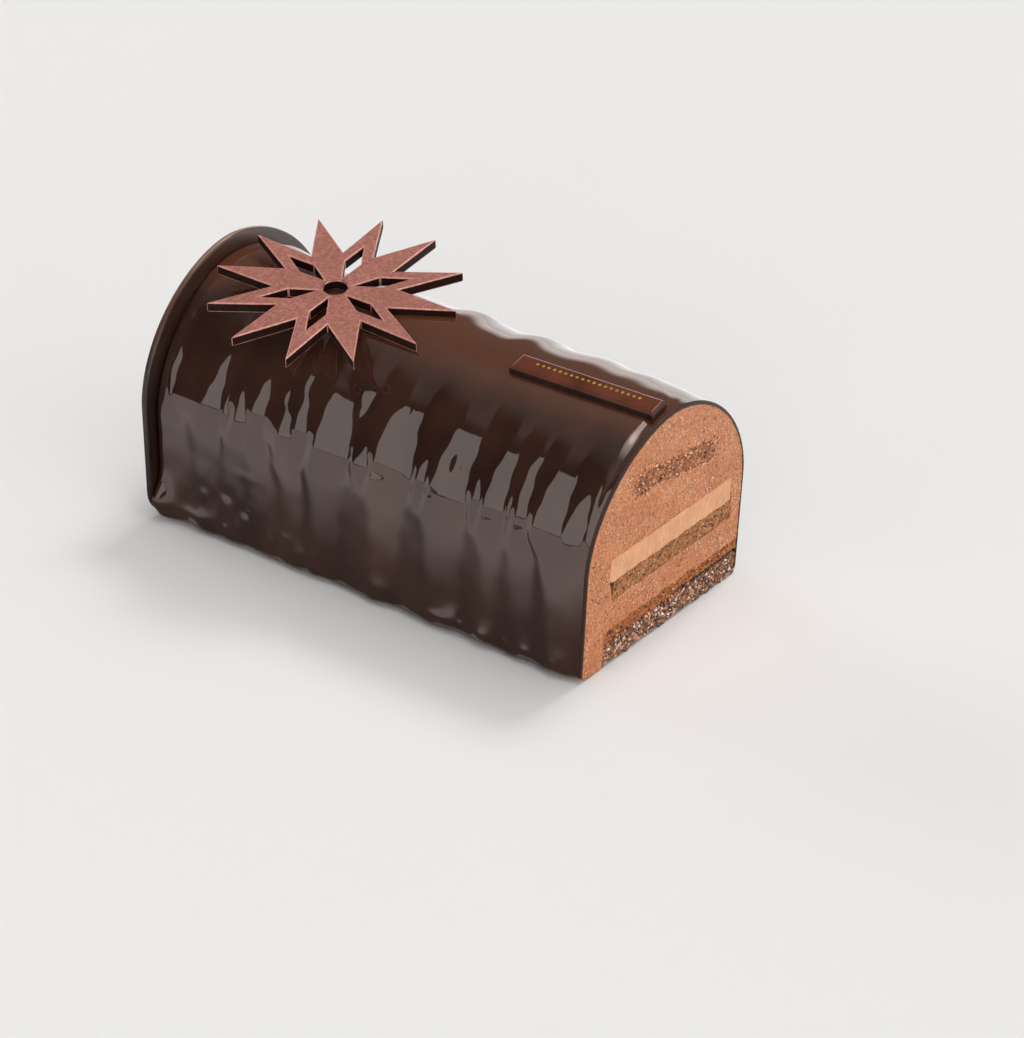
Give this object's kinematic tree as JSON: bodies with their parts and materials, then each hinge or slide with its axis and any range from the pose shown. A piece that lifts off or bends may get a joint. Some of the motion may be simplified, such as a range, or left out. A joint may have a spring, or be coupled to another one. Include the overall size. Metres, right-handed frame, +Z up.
{
  "type": "yule log cake",
  "caption": "Glazed yule log cake, cut at one end to show its mousse, cream, biscuit and crunch layers, with an end plate, a pierced star and a bare bar on top.",
  "frame": {"origin": "under the middle of the whole cake, on the surface that it stands on", "axes": "+X along the log from the end plate to the cut, +Y across it to the far side of the picture, +Z up"},
  "size_m": [0.1747, 0.0918, 0.0879],
  "materials": {
    "mousse": "chocolate mousse, fine open pores on a cut face",
    "cream": "smooth set cream, satin",
    "biscuit": "open crumb of baked biscuit, matte",
    "dark_biscuit": "moist dark biscuit, open crumb",
    "crunch": "crushed praline and wafer, rough, with sugar glints",
    "dark_chocolate": "tempered chocolate, satin",
    "velvet_chocolate": "sprayed velvet on chocolate, fine grain",
    "mirror_glaze": "poured mirror glaze, wet gloss"
  },
  "bodies": {
    "root": {"mousse": "mousse", "crunch_base": "crunch", "chocolate_film": "dark_chocolate", "bottom_biscuit": "dark_biscuit", "middle_biscuit": "biscuit", "cream_layer": "cream", "top_biscuit": "dark_biscuit", "glaze": "mirror_glaze", "end_plate": "dark_chocolate", "star": "velvet_chocolate", "plaque": "dark_chocolate"}
  },
  "joints": []
}
